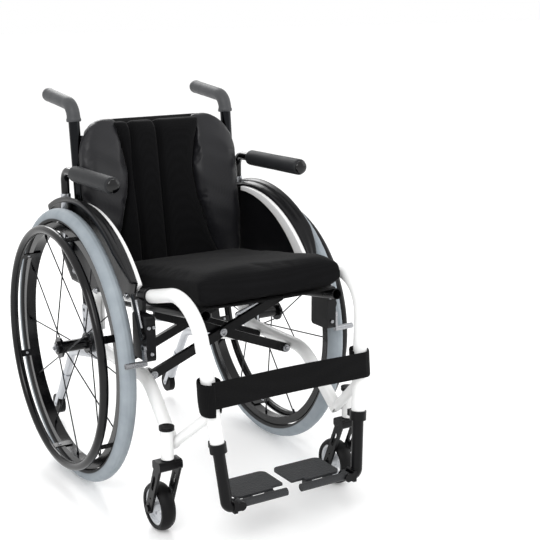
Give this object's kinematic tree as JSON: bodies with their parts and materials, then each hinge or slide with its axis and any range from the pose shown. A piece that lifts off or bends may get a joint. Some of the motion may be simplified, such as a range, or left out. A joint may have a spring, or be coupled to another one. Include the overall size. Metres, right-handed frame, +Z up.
{
  "type": "manual wheelchair",
  "caption": "Folding self-propelled wheelchair: white tube side frames, black double cross brace, padded seat and back, castors, armrests, footplates and anti-tippers.",
  "frame": {"origin": "on the floor below the middle of the bounding box", "axes": "+Z up, the chair faces -Y, +X is the user's left"},
  "size_m": [0.606, 0.8936, 0.8535],
  "materials": {
    "powder_white": "gloss",
    "alu_plate": "satin",
    "cane_metal": "gloss",
    "grip_rubber": "matte",
    "guard_plastic": "satin",
    "socket_alu": "satin",
    "black_tube": "gloss",
    "pad_foam": "matte",
    "grey_tyre": "matte",
    "rim_black": "gloss",
    "spoke_black": "gloss",
    "hub_black": "satin",
    "handrim_black": "gloss",
    "pin_steel": "satin",
    "button_steel": "satin",
    "fork_black": "satin",
    "castor_rubber": "matte",
    "castor_silver": "gloss",
    "brake_black": "satin",
    "lever_black": "gloss",
    "shoe_steel": "satin",
    "foot_tube_black": "gloss",
    "plate_composite": "matte",
    "tip_tube_silver": "satin",
    "tip_wheel_rubber": "matte",
    "brace_black": "satin",
    "link_silver": "satin",
    "sling_nylon": "matte",
    "cushion_fabric": "matte",
    "back_fabric": "matte",
    "bag_nylon": "matte",
    "strap_webbing": "matte"
  },
  "bodies": {
    "frame_right": {"side_frame_right": "powder_white", "axle_plate_right": "alu_plate", "back_cane_right": "cane_metal", "push_grip_right": "grip_rubber", "side_guard_right": "guard_plastic", "armrest_socket_right": "socket_alu", "brake_mount_right": "brake_black", "footrest_tube_right": "foot_tube_black", "axle_pin_right": "pin_steel", "back_upholstery": "back_fabric", "back_bag": "bag_nylon", "calf_strap": "strap_webbing"},
    "frame_left": {"side_frame_left": "powder_white", "axle_plate_left": "alu_plate", "back_cane_left": "cane_metal", "push_grip_left": "grip_rubber", "side_guard_left": "guard_plastic", "armrest_socket_left": "socket_alu", "brake_mount_left": "brake_black", "footrest_tube_left": "foot_tube_black", "axle_pin_left": "pin_steel"},
    "brace_a": {"cross_arm_a": "brace_black", "seat_cushion": "cushion_fabric", "seat_sling": "sling_nylon"},
    "brace_b": {"cross_arm_b": "brace_black"},
    "wheel_left": {"rear_tyre_left": "grey_tyre", "rear_rim_left": "rim_black", "spokes_left": "spoke_black", "hub_left": "hub_black", "handrim_left": "handrim_black"},
    "castor_swivel_left": {"castor_fork_left": "fork_black"},
    "castor_wheel_left": {"castor_tyre_left": "castor_rubber", "castor_rim_left": "castor_silver"},
    "lock_lever_left": {"brake_lever_left": "lever_black"},
    "lock_shoe_left": {"brake_shoe_left": "shoe_steel"},
    "footplate_left": {"footplate_left": "plate_composite"},
    "armrest_left": {"armrest_tube_left": "black_tube", "armrest_pad_left": "pad_foam"},
    "anti_tipper_left": {"anti_tip_tube_left": "tip_tube_silver"},
    "anti_tip_roller_left": {"anti_tip_wheel_left": "tip_wheel_rubber"},
    "axle_button_left": {"axle_button_left": "button_steel"},
    "link_left": {"fold_link_left": "link_silver"},
    "wheel_right": {"rear_tyre_right": "grey_tyre", "rear_rim_right": "rim_black", "spokes_right": "spoke_black", "hub_right": "hub_black", "handrim_right": "handrim_black"},
    "castor_swivel_right": {"castor_fork_right": "fork_black"},
    "castor_wheel_right": {"castor_tyre_right": "castor_rubber", "castor_rim_right": "castor_silver"},
    "lock_lever_right": {"brake_lever_right": "lever_black"},
    "lock_shoe_right": {"brake_shoe_right": "shoe_steel"},
    "footplate_right": {"footplate_right": "plate_composite"},
    "armrest_right": {"armrest_tube_right": "black_tube", "armrest_pad_right": "pad_foam"},
    "anti_tipper_right": {"anti_tip_tube_right": "tip_tube_silver"},
    "anti_tip_roller_right": {"anti_tip_wheel_right": "tip_wheel_rubber"},
    "axle_button_right": {"axle_button_right": "button_steel"},
    "link_right": {"fold_link_right": "link_silver"}
  },
  "joints": [
    {"name": "fold", "type": "hinge", "parent": "frame_right", "child": "brace_a", "pos_m": [-0.167, 0.07179, 0.287], "axis": [0, -1, 0], "range_deg": [0, 51], "deforming": ["seat_sling", "seat_cushion", "back_upholstery", "back_bag", "calf_strap"]},
    {"name": "brace_cross", "type": "hinge", "parent": "brace_a", "child": "brace_b", "pos_m": [0, 0.07179, 0.353], "axis": [0, 1, 0], "range_deg": [0, 102]},
    {"name": "brace_foot_left", "type": "hinge", "parent": "brace_b", "child": "frame_left", "pos_m": [0.167, 0.07179, 0.287], "axis": [0, -1, 0], "range_deg": [0, 51]},
    {"name": "wheel_spin_left", "type": "hinge", "parent": "frame_left", "child": "wheel_left", "pos_m": [0.2525, 0.07179, 0.305], "axis": [1, 0, 0], "continuous": true},
    {"name": "castor_swivel_left", "type": "hinge", "parent": "frame_left", "child": "castor_swivel_left", "pos_m": [0.218, -0.31321, 0.16], "axis": [0, 0, 1], "continuous": true},
    {"name": "castor_roll_left", "type": "hinge", "parent": "castor_swivel_left", "child": "castor_wheel_left", "pos_m": [0.218, -0.27121, 0.05], "axis": [1, 0, 0], "continuous": true},
    {"name": "wheel_lock_left", "type": "hinge", "parent": "frame_left", "child": "lock_lever_left", "pos_m": [0.229, -0.24021, 0.402], "axis": [1, 0, 0], "range_deg": [0, 60]},
    {"name": "lock_shoe_left", "type": "hinge", "parent": "frame_left", "child": "lock_shoe_left", "pos_m": [0.229, -0.24621, 0.378], "axis": [1, 0, 0], "range_deg": [0, 20]},
    {"name": "footplate_flip_left", "type": "hinge", "parent": "frame_left", "child": "footplate_left", "pos_m": [0.126, -0.43329, 0.096], "axis": [0, 1, 0], "range_deg": [0, 93.6]},
    {"name": "armrest_swing_left", "type": "hinge", "parent": "frame_left", "child": "armrest_left", "pos_m": [0.221, 0.14779, 0.6], "axis": [0, 0, 1], "range_deg": [0, 100]},
    {"name": "anti_tipper_turn_left", "type": "hinge", "parent": "frame_left", "child": "anti_tipper_left", "pos_m": [0.158, 0.07179, 0.264], "axis": [0, 0.9773, -0.2118], "range_deg": [0, 180]},
    {"name": "anti_tip_roll_left", "type": "hinge", "parent": "anti_tipper_left", "child": "anti_tip_roller_left", "pos_m": [0.158, 0.42179, 0.042], "axis": [1, 0, 0], "continuous": true},
    {"name": "axle_button_push_left", "type": "slide", "parent": "frame_left", "child": "axle_button_left", "axis": [-1, 0, 0], "range_m": [0, 0.003], "stiffness_N_per_m": 300},
    {"name": "link_turn_left", "type": "hinge", "parent": "frame_left", "child": "link_left", "pos_m": [0.171, -0.12821, 0.407], "axis": [0, 1, 0], "range_deg": [0, 85.9]},
    {"name": "wheel_spin_right", "type": "hinge", "parent": "frame_right", "child": "wheel_right", "pos_m": [-0.2525, 0.07179, 0.305], "axis": [1, 0, 0], "continuous": true},
    {"name": "castor_swivel_right", "type": "hinge", "parent": "frame_right", "child": "castor_swivel_right", "pos_m": [-0.218, -0.31321, 0.16], "axis": [0, 0, 1], "continuous": true},
    {"name": "castor_roll_right", "type": "hinge", "parent": "castor_swivel_right", "child": "castor_wheel_right", "pos_m": [-0.218, -0.27121, 0.05], "axis": [1, 0, 0], "continuous": true},
    {"name": "wheel_lock_right", "type": "hinge", "parent": "frame_right", "child": "lock_lever_right", "pos_m": [-0.229, -0.24021, 0.402], "axis": [1, 0, 0], "range_deg": [0, 60]},
    {"name": "lock_shoe_right", "type": "hinge", "parent": "frame_right", "child": "lock_shoe_right", "pos_m": [-0.229, -0.24621, 0.378], "axis": [1, 0, 0], "range_deg": [0, 20]},
    {"name": "footplate_flip_right", "type": "hinge", "parent": "frame_right", "child": "footplate_right", "pos_m": [-0.126, -0.43329, 0.096], "axis": [0, -1, 0], "range_deg": [0, 93.6]},
    {"name": "armrest_swing_right", "type": "hinge", "parent": "frame_right", "child": "armrest_right", "pos_m": [-0.221, 0.14779, 0.6], "axis": [0, 0, -1], "range_deg": [0, 100]},
    {"name": "anti_tipper_turn_right", "type": "hinge", "parent": "frame_right", "child": "anti_tipper_right", "pos_m": [-0.158, 0.07179, 0.264], "axis": [0, -0.9773, 0.2118], "range_deg": [0, 180]},
    {"name": "anti_tip_roll_right", "type": "hinge", "parent": "anti_tipper_right", "child": "anti_tip_roller_right", "pos_m": [-0.158, 0.42179, 0.042], "axis": [1, 0, 0], "continuous": true},
    {"name": "axle_button_push_right", "type": "slide", "parent": "frame_right", "child": "axle_button_right", "axis": [1, 0, 0], "range_m": [0, 0.003], "stiffness_N_per_m": 300},
    {"name": "link_turn_right", "type": "hinge", "parent": "frame_right", "child": "link_right", "pos_m": [-0.171, -0.12821, 0.407], "axis": [0, -1, 0], "range_deg": [0, 85.9]}
  ],
  "couplings": [
    {"joint": "brace_cross", "follows": "fold", "ratio": 2},
    {"joint": "brace_foot_left", "follows": "fold", "ratio": 1},
    {"joint": "lock_shoe_left", "follows": "wheel_lock_left", "ratio": 0.3333},
    {"joint": "footplate_flip_left", "follows": "fold", "ratio": 1.83},
    {"joint": "link_turn_left", "follows": "fold", "ratio": 1.6787},
    {"joint": "lock_shoe_right", "follows": "wheel_lock_right", "ratio": 0.3333},
    {"joint": "footplate_flip_right", "follows": "fold", "ratio": 1.83},
    {"joint": "link_turn_right", "follows": "fold", "ratio": 1.6787}
  ]
}
